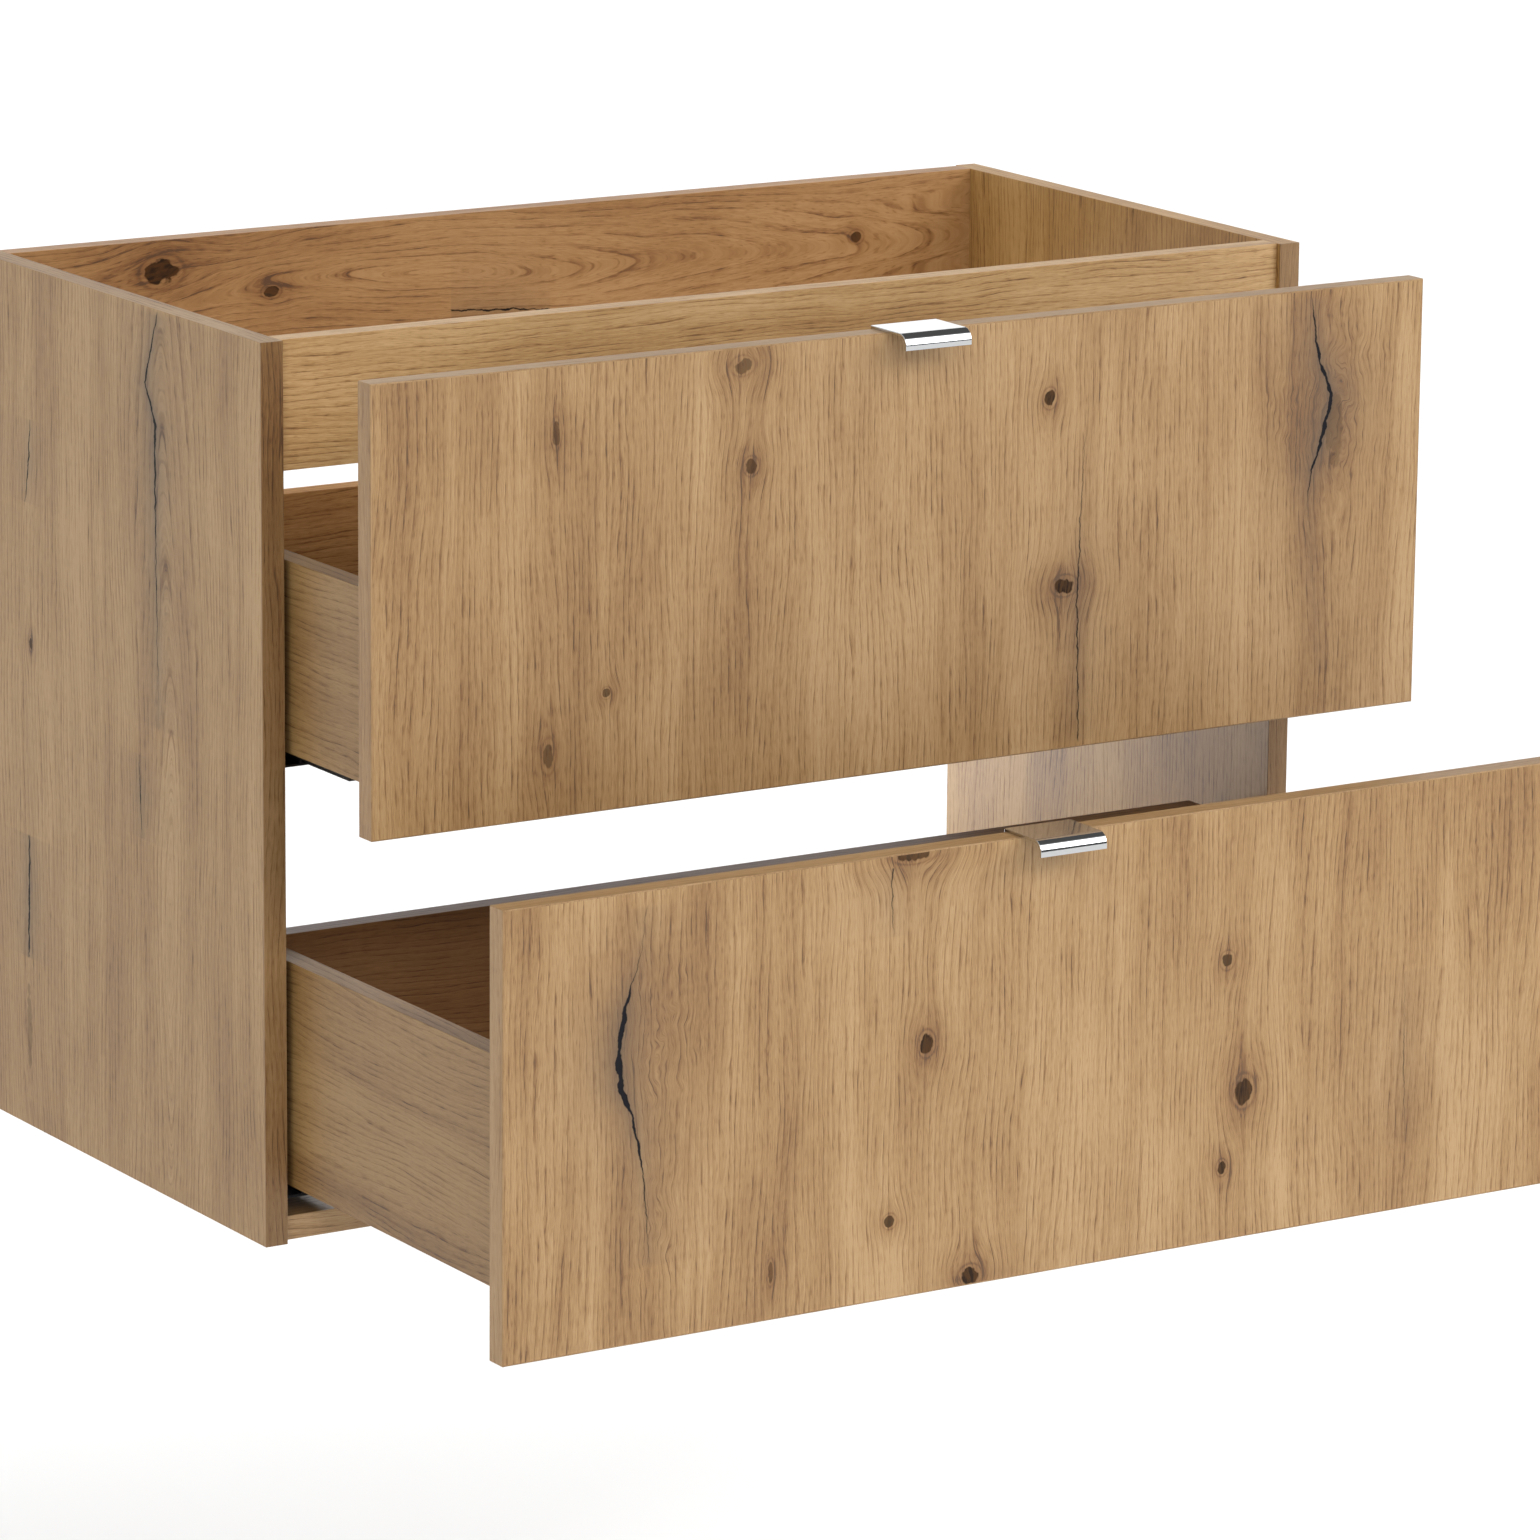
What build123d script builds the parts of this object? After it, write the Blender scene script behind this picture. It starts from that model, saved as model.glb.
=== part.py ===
"""Wall-hung bathroom vanity cabinet with two drawers on full-extension undermount runners.

Millimetres. +X runs along the cabinet's width, +Y into the wall, +Z up. The origin is midway
between the two wall fixings, in the plane of the wall. The drawers stand partly open.
"""

import os

from build123d import *

# ---- carcass -----------------------------------------------------------------------------
WIDTH = 800.0  # over both side panels
DEPTH = 400.0  # wall to the front edges of the side panels
HEIGHT = 590.0
BOARD = 16.0  # every board of the carcass and of the drawers
BAND = 1.0  # edge banding
EDGE_R = 0.3  # rounding of the boards' edges
BAND_EDGE_R = 0.6  # rounding of the banded edges
FRONT_RAIL_HEIGHT = 84.0
FRONT_RAIL_RECESS = 4.0  # behind the front edges of the side panels
BACK_RAIL_HEIGHT = 120.0
BOTTOM_BACK_RAIL_HEIGHT = 80.0
BOTTOM_FRONT_RAIL_DEPTH = 48.0
BOTTOM_FRONT_RAIL_LIFT = 1.5

# ---- wall fixings ------------------------------------------------------------------------
FIXING_DROP = 90.0  # from the top of the cabinet to the wall fixings
FIXING_SPACING = 640.0
FIXING_HOLE_R = 4.5
DRIVER_HOLE_R = 7.0  # through the back rail, for the fixing and its driver
PLATE_THICK = 3.0  # the back rail is set in by as much, so the plates lie in the wall plane
PLATE_WIDTH = 60.0
PLATE_HEIGHT = 50.0
PLATE_CORNER_R = 4.0
PLATE_SCREW_INSET = 9.0

# ---- drawer fronts -----------------------------------------------------------------------
FRONT_BOTTOM_MARGIN = 2.0  # below the lower front
FRONT_TOP_MARGIN = 4.0  # above the upper front
FRONT_GAP = 8.0  # between the two fronts
CLOSED_GAP = 1.5  # between a closed front and the side panels

# ---- drawer boxes ------------------------------------------------------------------------
BOX_LENGTH = 350.0
BOX_SIDE_GAP = 5.0  # between the drawer box and the side panel
PANEL_RECESS = 13.0  # from the lower edge of a box side to its bottom panel
UPPER_BOX_HEIGHT = 125.0
LOWER_BOX_HEIGHT = 149.0
UPPER_BOX_LIFT = 25.0  # from the lower edge of the front to the lower edge of the box
LOWER_BOX_LIFT = 35.0
UPPER_BACK_DROP = 3.0  # the upper back board stands lower than its sides
LOWER_BACK_DROP = -6.0  # and the lower one rises above them
UPPER_OPEN = 123.0  # how far the drawers stand open
LOWER_OPEN = 285.0
TRAP_WIDTH = 200.0  # recess of the upper drawer round the basin's trap, between its walls
TRAP_DEPTH = 170.0

# ---- runners -----------------------------------------------------------------------------
RUNNER_STEEL = 1.5
MEMBER_STEEL = 1.2
RUNNER_DROP = 14.5  # from the lower edge of the box side to the underside of the runner
RUNNER_SET_BACK = 25.0  # from the side panel's front edge to the runner
RUNNER_LENGTH = 320.0
MIDDLE_LENGTH = 290.0
SLIDE_END_GAP = 3.0  # from the drawer member to its clip, and to the end of the box
FLANGE_RISE = 20.0  # of the fixed flange, above the lower edge of the box side
CHANNEL_OFFSET = 3.0  # from the inside of the box side to the runner's channel
CHANNEL_WIDTH = 18.0
CHANNEL_HEIGHT = 12.5
MEMBER_CLEARANCE = 0.6  # between nested runner members
RUNNER_SCREW_SHARES = (0.08, 0.5, 0.92)  # of the runner's length
END_DOWEL_SHARES = (0.3, 0.7)  # of the joint's length
LONG_DOWEL_SHARES = (0.25, 0.5, 0.75)  # of the joint's length
SLIDE_PLATE_OUT = 1.0  # of the drawer member's plate, beyond the fixed channel
SLIDE_PLATE_IN = 5.0  # and beyond its own keel

# ---- couplings between drawer and runner -------------------------------------------------
CLIP_LENGTH = 19.0
CLIP_WIDTH = 48.0
CLIP_FRONT_GAP = 2.0
CLIP_SIDE_GAP = 1.0
CLIP_LIFT = 1.0  # from the lower edge of the box side
CLIP_CORNER_R = 1.5
LEVER_LENGTH = 28.0
LEVER_LIFT = 4.0
LEVER_GAP = 4.0  # between the lever and the runner's channel
LEVER_SCREW_PLACE = 18.0
CLIP_SCREW_INSET = 8.0

# ---- handles -----------------------------------------------------------------------------
HANDLE_WIDTH = 50.0
HANDLE_SHEET = 2.0
HANDLE_REACH = 24.0  # in front of the drawer front
HANDLE_LIP = 10.5  # from the top of the plate to the end of the lip
HANDLE_BEND_R = 8.0  # outside radius between plate and lip
HANDLE_FLANGE = 14.0  # behind the drawer front
HANDLE_EDGE_R = 0.4
HANDLE_SCREW_DROP = 8.0  # from the top of the plate
HANDLE_SCREW_SPREAD = 1 / 3  # of the handle's width, either side of its middle

# ---- fittings ----------------------------------------------------------------------------
DOWEL_R = 4.0
DOWEL_IN_FACE = 11.0
DOWEL_IN_END = 19.0
CAM_R = 7.5
CAM_OFFSET = 24.0  # from the board's end to the cam
CAM_THICK = 12.5
CAM_SLOT_HALF = 4.0  # round the head of the bolt
CAM_CROSS_LENGTH = 8.0  # recess for the screwdriver
CAM_CROSS_WIDTH = 1.4
CAM_CROSS_DEPTH = 1.5
BOLT_THREAD_R = 2.5
BOLT_SHANK_R = 3.0
BOLT_HEAD_R = 3.5
BOLT_HEAD_START = 3.0  # before the middle of the cam
BOLT_HEAD_END = 1.5  # beyond it
FIT = 0.05  # round a dowel, bolt or screw, on the radius
HOLE_SPARE = 0.5  # beyond the end of a dowel, bolt or screw
SCREW_R = 1.9
SCREW_BITE = 10.0  # into the wood
HEAD_R = 3.6
HEAD_HEIGHT = 1.8

# ---- places worked out from the sizes above ----------------------------------------------
TOP = FIXING_DROP
BASE = TOP - HEIGHT
INNER = WIDTH / 2 - BOARD  # half the clear width of the carcass
BOX_HALF = INNER - BOX_SIDE_GAP  # outside of a drawer box
BOX_INNER = BOX_HALF - BOARD
FRONT_HEIGHT = (HEIGHT - FRONT_BOTTOM_MARGIN - FRONT_TOP_MARGIN - FRONT_GAP) / 2
LOWER_FRONT_Z = BASE + FRONT_BOTTOM_MARGIN
UPPER_FRONT_Z = LOWER_FRONT_Z + FRONT_HEIGHT + FRONT_GAP
CHANNEL_OUT = BOX_INNER - CHANNEL_OFFSET  # the channel's outer wall, measured from the middle
SIDES = {"left": -1, "right": 1}

pieces = {}


def add(node, *solids):
    """Collect the solids of one node."""
    pieces.setdefault(node, []).extend(solids)


def span(x0, x1, y0, y1, z0, z1):
    """Box between two corners given in any order."""
    size = (abs(x1 - x0), abs(y1 - y0), abs(z1 - z0))
    return Pos((x0 + x1) / 2, (y0 + y1) / 2, (z0 + z1) / 2) * Box(*size)


def board(x0, x1, y0, y1, z0, z1, edge_r=EDGE_R):
    """Box with all its edges rounded."""
    return fillet(span(x0, x1, y0, y1, z0, z1).edges(), edge_r)


def rod(radius, z0, z1):
    """Cylinder on the local Z axis."""
    return Pos(0, 0, (z0 + z1) / 2) * Cylinder(radius, z1 - z0)


def cut(node, *tools):
    """Take the tools away from the last solid of a node."""
    for tool in tools:
        pieces[node][-1] = pieces[node][-1] - tool


def as_solid(shape):
    """The one solid of a shape."""
    return shape.solids()[0]


# ---- joints between boards ---------------------------------------------------------------
def dowel_joint(plane, face_node, end_node, dowel_node):
    """Dowel across a butt joint. The plane's Z points from the face board into the end."""
    add(dowel_node, as_solid(plane * rod(DOWEL_R, -DOWEL_IN_FACE, DOWEL_IN_END)))
    hole_r = DOWEL_R + FIT
    cut(face_node, plane * rod(hole_r, -DOWEL_IN_FACE - HOLE_SPARE, 1))
    cut(end_node, plane * rod(hole_r, -1, DOWEL_IN_END + HOLE_SPARE))


def cam_joint(plane, face_node, end_node, fitting):
    """Bolt in the face board, cam in the end board, let in from the plane's X side."""
    head_start, head_end = CAM_OFFSET - BOLT_HEAD_START, CAM_OFFSET + BOLT_HEAD_END
    bolt = rod(BOLT_THREAD_R, -DOWEL_IN_FACE, 0) + rod(BOLT_SHANK_R, 0, head_start)
    bolt = bolt + rod(BOLT_HEAD_R, head_start, head_end)
    add(fitting + "cam_bolts", as_solid(plane * bolt))

    cam_floor = BOARD / 2 - CAM_THICK
    lie_down = Pos(cam_floor + CAM_THICK / 2, 0, CAM_OFFSET) * Rot(0, 90, 0)
    half = CAM_SLOT_HALF
    slot = span(-half, half, -half, half, CAM_OFFSET - CAM_R - 1, head_end + 1)
    cam = lie_down * Cylinder(CAM_R, CAM_THICK) - slot
    cross = (CAM_CROSS_LENGTH, CAM_CROSS_WIDTH)
    for length, breadth in (cross, cross[::-1]):
        recess = Pos(BOARD / 2, 0, CAM_OFFSET) * Box(2 * CAM_CROSS_DEPTH, length, breadth)
        cam = cam - recess
    add(fitting + "cam_locks", as_solid(plane * cam))

    hole_depth = CAM_THICK + HOLE_SPARE
    hole_place = Pos((BOARD - hole_depth + 1) / 2, 0, CAM_OFFSET) * Rot(0, 90, 0)
    cut(face_node, plane * rod(BOLT_THREAD_R + FIT, -DOWEL_IN_FACE - HOLE_SPARE, 1))
    cut(
        end_node,
        plane * rod(BOLT_HEAD_R + FIT, -1, CAM_OFFSET),
        plane * (hole_place * Cylinder(CAM_R + FIT, hole_depth + 1)),
    )


def rail_joints(rail_node, centre_y, centre_z, spread, hidden):
    """Cam joint in the middle of each rail end, with a dowel on either side of it."""
    for name, sign in SIDES.items():
        into_rail = (-sign, 0, 0)
        side_node = "side_" + name
        for step in (-1, 0, 1):
            offset_y = step * spread if hidden[2] else 0
            offset_z = 0 if hidden[2] else step * spread
            origin = (sign * INNER, centre_y + offset_y, centre_z + offset_z)
            plane = Plane(origin=origin, x_dir=hidden, z_dir=into_rail)
            if step:
                dowel_joint(plane, side_node, rail_node, "dowels")
            else:
                cam_joint(plane, side_node, rail_node, "")


# ---- screws ------------------------------------------------------------------------------
def pan_screw(plane, node, under_head, bite):
    """Pan-head screw. The plane's Z points into the wood, from the surface under the head."""
    shank = rod(SCREW_R, 0, under_head + bite)
    head = fillet(rod(HEAD_R, -HEAD_HEIGHT, 0).edges().group_by(Axis.Z)[0], 1.0)
    add(node, as_solid(plane * (shank + head)))
    return plane * rod(SCREW_R + FIT, -1, under_head + bite + HOLE_SPARE)


def countersunk_screw(plane, node, sheet, bite):
    """Flat-head screw, flush with the sheet. The plane's Z points into the wood."""
    rise = HEAD_R - SCREW_R
    head = Pos(0, 0, rise / 2) * Cone(HEAD_R, SCREW_R, rise)
    add(node, as_solid(plane * (head + rod(SCREW_R, rise, sheet + bite))))
    sink = Pos(0, 0, rise / 2) * Cone(HEAD_R + FIT, SCREW_R + FIT, rise)
    return plane * (sink + rod(SCREW_R + FIT, 0, sheet + bite + HOLE_SPARE))


# ---- carcass -----------------------------------------------------------------------------
def carcass():
    """Two side panels and four rails, doweled and cam-locked together."""
    for name, sign in SIDES.items():
        outer = sign * WIDTH / 2
        inner = sign * INNER
        panel = board(outer, inner, -DEPTH, 0, BASE, TOP)
        band = span(outer, inner, -DEPTH, -DEPTH + BAND, BASE, TOP)
        add("side_" + name, as_solid(panel - band))
        add("side_edge_bands", as_solid(panel & band))

    front_y = -DEPTH + FRONT_RAIL_RECESS
    rails = {
        "front_rail": (front_y, front_y + BOARD, TOP - FRONT_RAIL_HEIGHT, TOP),
        "back_rail": (-PLATE_THICK - BOARD, -PLATE_THICK, TOP - BACK_RAIL_HEIGHT, TOP),
        "bottom_front_rail": (
            front_y,
            front_y + BOTTOM_FRONT_RAIL_DEPTH,
            BASE + BOTTOM_FRONT_RAIL_LIFT,
            BASE + BOTTOM_FRONT_RAIL_LIFT + BOARD,
        ),
        "bottom_back_rail": (
            -PLATE_THICK - BOARD,
            -PLATE_THICK,
            BASE,
            BASE + BOTTOM_BACK_RAIL_HEIGHT,
        ),
    }
    for node, (y0, y1, z0, z1) in rails.items():
        add(node, board(-INNER, INNER, y0, y1, z0, z1))
        flat = y1 - y0 > z1 - z0
        hidden = (0, 0, -1) if flat else (0, 1, 0)
        spread = max(y1 - y0, z1 - z0) / 3
        rail_joints(node, (y0 + y1) / 2, (z0 + z1) / 2, spread, hidden)


def wall_fixings():
    """Steel plates on the back of the back rail, each with the hole for one wall screw."""
    for sign in SIDES.values():
        x = sign * FIXING_SPACING / 2
        half_w, half_h = PLATE_WIDTH / 2, PLATE_HEIGHT / 2
        plate = span(x - half_w, x + half_w, -PLATE_THICK, 0, -half_h, half_h)
        plate = fillet(plate.edges().filter_by(Axis.Y), PLATE_CORNER_R)
        along_y = Pos(x, 0, 0) * Rot(90, 0, 0)
        add("hanger_plates", as_solid(plate - along_y * Cylinder(FIXING_HOLE_R, 4 * BOARD)))
        cut("back_rail", along_y * Cylinder(DRIVER_HOLE_R, 4 * BOARD))
        for step_x in (-1, 1):
            for step_z in (-1, 1):
                offset_x = step_x * (half_w - PLATE_SCREW_INSET)
                origin = (x + offset_x, 0, step_z * (half_h - PLATE_SCREW_INSET))
                plane = Plane(origin=origin, x_dir=(1, 0, 0), z_dir=(0, -1, 0))
                hole = countersunk_screw(plane, "hanger_plate_screws", PLATE_THICK, SCREW_BITE)
                cut("hanger_plates", hole)
                cut("back_rail", hole)


# ---- runners -----------------------------------------------------------------------------
def fixed_member(level, side, box_z):
    """Cabinet member: a flange on the side panel, a web under the box and a channel."""
    sign = SIDES[side]
    y0 = -DEPTH + RUNNER_SET_BACK
    y1 = y0 + RUNNER_LENGTH
    low = box_z - RUNNER_DROP
    inner_wall = CHANNEL_OUT - CHANNEL_WIDTH
    flange = span(sign * INNER, sign * (INNER - RUNNER_STEEL), y0, y1, low, box_z + FLANGE_RISE)
    member = flange + span(sign * INNER, sign * inner_wall, y0, y1, low, low + RUNNER_STEEL)
    for wall in (CHANNEL_OUT, inner_wall + RUNNER_STEEL):
        upstand = span(
            sign * wall, sign * (wall - RUNNER_STEEL), y0, y1, low, low + CHANNEL_HEIGHT
        )
        member = member + upstand
    node = f"{level}_{side}_runner_rail"
    add(node, as_solid(member))
    for share in RUNNER_SCREW_SHARES:
        origin = (sign * (INNER - RUNNER_STEEL), y0 + share * RUNNER_LENGTH, box_z + FLANGE_RISE / 2)
        plane = Plane(origin=origin, x_dir=(0, 1, 0), z_dir=(sign, 0, 0))
        hole = pan_screw(plane, "runner_screws", RUNNER_STEEL, SCREW_BITE)
        cut(node, hole)
        cut("side_" + side, hole)


def member_limits(layer):
    """Outer wall, inner wall and floor height of the channel at a nesting layer."""
    inset = layer * MEMBER_CLEARANCE + RUNNER_STEEL + (layer - 1) * MEMBER_STEEL
    return CHANNEL_OUT - inset, CHANNEL_OUT - CHANNEL_WIDTH + inset, inset


def middle_member(level, side, box_z, opened):
    """Middle member: a channel nested in the fixed one. It travels half as far as the drawer."""
    sign = SIDES[side]
    y0 = -DEPTH + RUNNER_SET_BACK - opened / 2
    y1 = y0 + MIDDLE_LENGTH
    outer, inner, floor = member_limits(1)
    low = box_z - RUNNER_DROP + floor
    high = box_z - RUNNER_DROP + CHANNEL_HEIGHT
    shell = span(sign * outer, sign * inner, y0, y1, low, high)
    hollow = span(
        sign * (outer - MEMBER_STEEL),
        sign * (inner + MEMBER_STEEL),
        y0 - 1,
        y1 + 1,
        low + MEMBER_STEEL,
        high + 1,
    )
    add(f"{level}_{side}_runner_middle", as_solid(shell - hollow))


def drawer_member(level, side, box_z, back_of_front):
    """Drawer member: a plate under the bottom panel on a hollow keel in the middle member."""
    sign = SIDES[side]
    y0 = back_of_front + CLIP_LENGTH + SLIDE_END_GAP
    y1 = back_of_front + BOX_LENGTH - SLIDE_END_GAP
    outer, inner, floor = member_limits(2)
    low = box_z - RUNNER_DROP + floor
    high = box_z + PANEL_RECESS
    plate_out, plate_in = CHANNEL_OUT + SLIDE_PLATE_OUT, inner - SLIDE_PLATE_IN
    plate = span(sign * plate_out, sign * plate_in, y0, y1, high - RUNNER_STEEL, high)
    keel = span(sign * outer, sign * inner, y0, y1, low, high)
    hollow = span(
        sign * (outer - MEMBER_STEEL),
        sign * (inner + MEMBER_STEEL),
        y0 - 1,
        y1 + 1,
        low + MEMBER_STEEL,
        high - RUNNER_STEEL,
    )
    add(f"{level}_{side}_runner_slide", as_solid(plate + keel - hollow))


def front_clip(level, side, box_z, back_of_front):
    """Plastic coupling that locks the drawer onto the front end of its runner."""
    sign = SIDES[side]
    outer = BOX_INNER - CLIP_SIDE_GAP
    high = box_z + PANEL_RECESS
    y0 = back_of_front + CLIP_FRONT_GAP
    y1 = back_of_front + CLIP_LENGTH
    clip_low, lever_low = box_z + CLIP_LIFT, box_z + LEVER_LIFT
    clip = span(sign * outer, sign * (outer - CLIP_WIDTH), y0, y1, clip_low, high)
    inner = CHANNEL_OUT - CHANNEL_WIDTH - LEVER_GAP
    lever = span(
        sign * inner, sign * (outer - CLIP_WIDTH), y1 - 1, y1 + LEVER_LENGTH, lever_low, high
    )
    clip = fillet((clip + lever).edges().filter_by(Axis.Z), CLIP_CORNER_R)
    node = level + "_runner_clips"
    add(node, as_solid(clip))
    for y, low in (((y0 + y1) / 2, clip_low), (y1 + LEVER_SCREW_PLACE, lever_low)):
        origin = (sign * (inner - CLIP_SCREW_INSET), y, low)
        plane = Plane(origin=origin, x_dir=(1, 0, 0), z_dir=(0, 0, 1))
        hole = pan_screw(plane, level + "_clip_screws", high - low, SCREW_BITE)
        cut(node, hole)
        cut(level + "_drawer_bottom", hole)


# ---- drawers -----------------------------------------------------------------------------
def drawer_front(level, back_of_front, front_z):
    """Front board with a band on each of its four edges."""
    half = WIDTH / 2
    face_y = back_of_front - BOARD
    low, high = front_z + BAND, front_z + FRONT_HEIGHT - BAND
    whole = board(-half, half, face_y, back_of_front, low - BAND, high + BAND, BAND_EDGE_R)
    core = span(-half + BAND, half - BAND, face_y, back_of_front, low, high)
    add(level + "_drawer_front", core)
    for z in (low - BAND, high):
        strip = span(-half, half, face_y, back_of_front, z, z + BAND)
        add(level + "_front_bands", as_solid(whole & strip))
    for x in (-half, half - BAND):
        strip = span(x, x + BAND, face_y, back_of_front, low, high)
        add(level + "_front_bands", as_solid(whole & strip))


def drawer_box(level, back_of_front, box_z, height, back_drop, trap):
    """Two sides, a bottom panel and a back, doweled together, and cam-locked to the front."""
    y1 = back_of_front + BOX_LENGTH
    panel_low = box_z + PANEL_RECESS
    panel_high = panel_low + BOARD
    back_top = box_z + height - back_drop
    fitting = level + "_"
    bottom_node = level + "_drawer_bottom"
    add(bottom_node, board(-BOX_INNER, BOX_INNER, back_of_front, y1, panel_low, panel_high))
    back_pieces = {level + "_drawer_back": (-BOX_INNER, BOX_INNER)}
    if trap:
        edge = TRAP_WIDTH / 2 + BOARD
        back_pieces = {
            level + "_drawer_back_left": (-BOX_INNER, -edge),
            level + "_drawer_back_right": (edge, BOX_INNER),
        }
    for node, (x0, x1) in back_pieces.items():
        add(node, board(x0, x1, y1 - BOARD, y1, panel_high, back_top))

    for name, sign in SIDES.items():
        side_node = f"{level}_drawer_side_{name}"
        outer, inner = sign * BOX_HALF, sign * BOX_INNER
        add(side_node, board(outer, inner, back_of_front, y1, box_z, box_z + height))
        back_node = list(back_pieces)[0 if sign < 0 else -1]
        for share in END_DOWEL_SHARES:
            z = panel_high + share * (back_top - panel_high)
            origin = (inner, y1 - BOARD / 2, z)
            plane = Plane(origin=origin, x_dir=(0, 1, 0), z_dir=(-sign, 0, 0))
            dowel_joint(plane, side_node, back_node, fitting + "box_dowels")
        for share in LONG_DOWEL_SHARES:
            origin = (inner, back_of_front + share * BOX_LENGTH, panel_low + BOARD / 2)
            plane = Plane(origin=origin, x_dir=(0, 1, 0), z_dir=(-sign, 0, 0))
            dowel_joint(plane, side_node, bottom_node, fitting + "box_dowels")
        mid_x = sign * (BOX_HALF + BOX_INNER) / 2
        for share in LONG_DOWEL_SHARES:
            origin = (mid_x, back_of_front, box_z + share * height)
            plane = Plane(origin=origin, x_dir=(-sign, 0, 0), z_dir=(0, 1, 0))
            if share == 0.5:
                cam_joint(plane, level + "_drawer_front", side_node, fitting)
            else:
                dowel_joint(plane, level + "_drawer_front", side_node, fitting + "box_dowels")


def trap_recess(level, back_of_front, box_z, height, back_drop):
    """U-shaped recess at the back of the upper drawer, which clears the basin's trap."""
    back_y = back_of_front + BOX_LENGTH
    panel_low = box_z + PANEL_RECESS
    wall_low = panel_low + BOARD
    wall_top = box_z + height - back_drop
    half = TRAP_WIDTH / 2
    inside_y = back_y - TRAP_DEPTH
    notch = span(-half, half, inside_y, back_y + 1, panel_low - 1, wall_low + 1)
    cut(level + "_drawer_bottom", notch)
    front_y = inside_y - BOARD
    add(
        level + "_trap_wall_front",
        board(-half - BOARD, half + BOARD, front_y, inside_y, wall_low, wall_top),
    )
    for name, sign in SIDES.items():
        x0, x1 = sign * half, sign * (half + BOARD)
        add(f"{level}_trap_wall_{name}", board(x0, x1, inside_y, back_y, wall_low, wall_top))


def handle(level, back_of_front, front_z):
    """Bent-sheet pull over the middle of the front's top edge, screwed on from behind."""
    top = front_z + FRONT_HEIGHT
    plate_top = top + HANDLE_SHEET
    lip_y = back_of_front - BOARD - HANDLE_REACH
    flange_y = back_of_front + HANDLE_SHEET
    half = HANDLE_WIDTH / 2
    outer = span(-half, half, lip_y, flange_y, plate_top - HANDLE_FLANGE, plate_top)
    bends = outer.edges().filter_by(Axis.X).group_by(Axis.Z)[-1]
    outer = fillet(bends.sort_by(Axis.Y)[0], HANDLE_BEND_R)
    inner = span(
        -half - 1,
        half + 1,
        lip_y + HANDLE_SHEET,
        back_of_front,
        plate_top - HANDLE_FLANGE - 1,
        top,
    )
    bends = inner.edges().filter_by(Axis.X).group_by(Axis.Z)[-1]
    inner = fillet(bends.sort_by(Axis.Y)[0], HANDLE_BEND_R - HANDLE_SHEET)
    trim = span(
        -half - 1,
        half + 1,
        lip_y - 1,
        back_of_front - BOARD,
        plate_top - HANDLE_FLANGE - 1,
        plate_top - HANDLE_LIP,
    )
    node = level + "_handle"
    sheet = outer - inner - trim
    ends = sheet.faces().sort_by(Axis.X)
    add(node, as_solid(fillet(ends[0].edges() + ends[-1].edges(), HANDLE_EDGE_R)))
    for sign in SIDES.values():
        origin = (sign * HANDLE_WIDTH * HANDLE_SCREW_SPREAD, flange_y, plate_top - HANDLE_SCREW_DROP)
        plane = Plane(origin=origin, x_dir=(1, 0, 0), z_dir=(0, -1, 0))
        hole = pan_screw(plane, level + "_handle_screws", HANDLE_SHEET, SCREW_BITE)
        cut(node, hole)
        cut(level + "_drawer_front", hole)


def drawer(level, front_z, box_lift, height, back_drop, opened, trap):
    """One drawer, drawn out by the given distance, with its runners and handle."""
    back_of_front = -DEPTH - CLOSED_GAP - opened
    box_z = front_z + box_lift
    drawer_front(level, back_of_front, front_z)
    drawer_box(level, back_of_front, box_z, height, back_drop, trap)
    if trap:
        trap_recess(level, back_of_front, box_z, height, back_drop)
    handle(level, back_of_front, front_z)
    for side in SIDES:
        fixed_member(level, side, box_z)
        middle_member(level, side, box_z, opened)
        drawer_member(level, side, box_z, back_of_front)
        front_clip(level, side, box_z, back_of_front)


carcass()
wall_fixings()
drawer(
    "upper", UPPER_FRONT_Z, UPPER_BOX_LIFT, UPPER_BOX_HEIGHT, UPPER_BACK_DROP, UPPER_OPEN, True
)
drawer(
    "lower", LOWER_FRONT_Z, LOWER_BOX_LIFT, LOWER_BOX_HEIGHT, LOWER_BACK_DROP, LOWER_OPEN, False
)

os.makedirs("parts", exist_ok=True)
for node, solids in pieces.items():
    shape = solids[0] if len(solids) == 1 else Compound(children=solids)
    export_step(shape, f"parts/{node}.step")
print(len(pieces), "nodes")
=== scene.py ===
"""Looks of the wall-hung vanity cabinet: knotty oak decor boards, chrome pulls, black runners."""

import math

import bmesh
import bpy
from mathutils import Matrix, Vector


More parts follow.
